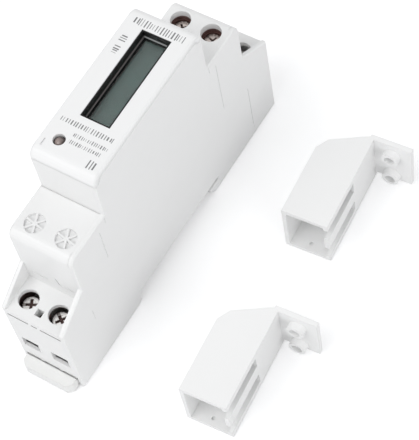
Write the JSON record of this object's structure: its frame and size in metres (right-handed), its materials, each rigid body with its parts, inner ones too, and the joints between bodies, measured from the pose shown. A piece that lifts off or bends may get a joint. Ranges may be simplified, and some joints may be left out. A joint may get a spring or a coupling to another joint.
{
  "type": "din rail energy meter",
  "caption": "Single-module white energy meter for a top-hat rail, with a display window, screw terminals at both ends and separate terminal covers.",
  "frame": {"origin": "centre line of the rail notch on the back plane, in the middle of the module's width", "axes": "+X across the module to the right, +Y along it towards the upper terminals, +Z from the rail side to the front"},
  "size_m": [0.066, 0.0986, 0.063],
  "materials": {
    "housing": "fine moulded grain",
    "side_plate": "fine moulded grain",
    "panel": "fine moulded grain",
    "bezel": "satin black",
    "lens": "clear polished",
    "display": "grey green, blank",
    "gold": "gold plated",
    "lamp": "tinted, polished",
    "board": "solder mask",
    "chip": "moulded",
    "can": "tinned",
    "film": "moulded box",
    "sleeve": "shrink sleeve",
    "disc": "dipped",
    "resistor": "lacquered",
    "copper": "tarnished copper",
    "shunt_alloy": "dull alloy",
    "barrier": "moulded",
    "screw": "nickel plated",
    "cage": "zinc plated",
    "block": "moulded",
    "lead": "tinned",
    "clip": "moulded",
    "cover": "fine moulded grain"
  },
  "bodies": {
    "meter": {"housing_body": "housing", "side_cover": "side_plate", "front_panel": "panel", "lcd_bezel": "bezel", "window_lens": "lens", "lcd_module": "display", "lcd_pins": "gold", "sense_pins": "gold", "pulse_led": "lamp", "main_board": "board", "metering_chip": "chip", "display_driver": "chip", "opto_coupler": "chip", "crystal": "can", "film_capacitor": "film", "electrolytic_capacitor": "sleeve", "varistor": "disc", "fuse_resistor": "resistor", "lower_live_bar": "copper", "upper_live_bar": "copper", "neutral_bar": "copper", "neutral_tap": "copper", "shunt": "shunt_alloy", "lower_barrier": "barrier", "upper_barrier": "barrier", "pulse_block": "block", "pulse_leads": "lead", "terminal_cover_1": "cover", "terminal_cover_2": "cover"},
    "lower_left_screw": {"lower_left_screw": "screw"},
    "lower_left_cage": {"lower_left_cage": "cage"},
    "lower_right_screw": {"lower_right_screw": "screw"},
    "lower_right_cage": {"lower_right_cage": "cage"},
    "upper_left_screw": {"upper_left_screw": "screw"},
    "upper_left_cage": {"upper_left_cage": "cage"},
    "upper_right_screw": {"upper_right_screw": "screw"},
    "upper_right_cage": {"upper_right_cage": "cage"},
    "pulse_left_screw": {"pulse_left_screw": "screw"},
    "pulse_left_cage": {"pulse_left_cage": "cage"},
    "pulse_right_screw": {"pulse_right_screw": "screw"},
    "pulse_right_cage": {"pulse_right_cage": "cage"},
    "din_clip": {"din_clip": "clip"}
  },
  "joints": [
    {"name": "lower_left_cage_rise", "type": "slide", "parent": "meter", "child": "lower_left_cage", "axis": [0, 0, 1], "range_m": [0, 0.0035]},
    {"name": "lower_left_screw_turn", "type": "hinge", "parent": "meter", "child": "lower_left_screw", "pos_m": [-0.0044, -0.0404, 0.022], "axis": [0, 0, -1], "range_deg": [0, 1800]},
    {"name": "lower_right_cage_rise", "type": "slide", "parent": "meter", "child": "lower_right_cage", "axis": [0, 0, 1], "range_m": [0, 0.0035]},
    {"name": "lower_right_screw_turn", "type": "hinge", "parent": "meter", "child": "lower_right_screw", "pos_m": [0.0044, -0.0404, 0.022], "axis": [0, 0, -1], "range_deg": [0, 1800]},
    {"name": "upper_left_cage_rise", "type": "slide", "parent": "meter", "child": "upper_left_cage", "axis": [0, 0, 1], "range_m": [0, 0.0035]},
    {"name": "upper_left_screw_turn", "type": "hinge", "parent": "meter", "child": "upper_left_screw", "pos_m": [-0.0044, 0.0448, 0.022], "axis": [0, 0, -1], "range_deg": [0, 1800]},
    {"name": "upper_right_cage_rise", "type": "slide", "parent": "meter", "child": "upper_right_cage", "axis": [0, 0, 1], "range_m": [0, 0.0035]},
    {"name": "upper_right_screw_turn", "type": "hinge", "parent": "meter", "child": "upper_right_screw", "pos_m": [0.0044, 0.0448, 0.022], "axis": [0, 0, -1], "range_deg": [0, 1800]},
    {"name": "pulse_left_cage_rise", "type": "slide", "parent": "meter", "child": "pulse_left_cage", "axis": [0, 0, 1], "range_m": [0, 0.0015]},
    {"name": "pulse_left_screw_turn", "type": "hinge", "parent": "meter", "child": "pulse_left_screw", "pos_m": [-0.0044, 0.0344, 0.0425], "axis": [0, 0, -1], "range_deg": [0, 1080]},
    {"name": "pulse_right_cage_rise", "type": "slide", "parent": "meter", "child": "pulse_right_cage", "axis": [0, 0, 1], "range_m": [0, 0.0015]},
    {"name": "pulse_right_screw_turn", "type": "hinge", "parent": "meter", "child": "pulse_right_screw", "pos_m": [0.0044, 0.0344, 0.0425], "axis": [0, 0, -1], "range_deg": [0, 1080]},
    {"name": "clip_slide", "type": "slide", "parent": "meter", "child": "din_clip", "axis": [0, -1, 0], "range_m": [0, 0.0035], "stiffness_N_per_m": 1500, "springref_m": -0.001}
  ],
  "couplings": [
    {"joint": "lower_left_screw_turn", "follows": "lower_left_cage_rise", "rad_per_m": 8976},
    {"joint": "lower_right_screw_turn", "follows": "lower_right_cage_rise", "rad_per_m": 8976},
    {"joint": "upper_left_screw_turn", "follows": "upper_left_cage_rise", "rad_per_m": 8976},
    {"joint": "upper_right_screw_turn", "follows": "upper_right_cage_rise", "rad_per_m": 8976},
    {"joint": "pulse_left_screw_turn", "follows": "pulse_left_cage_rise", "rad_per_m": 12566},
    {"joint": "pulse_right_screw_turn", "follows": "pulse_right_cage_rise", "rad_per_m": 12566}
  ]
}
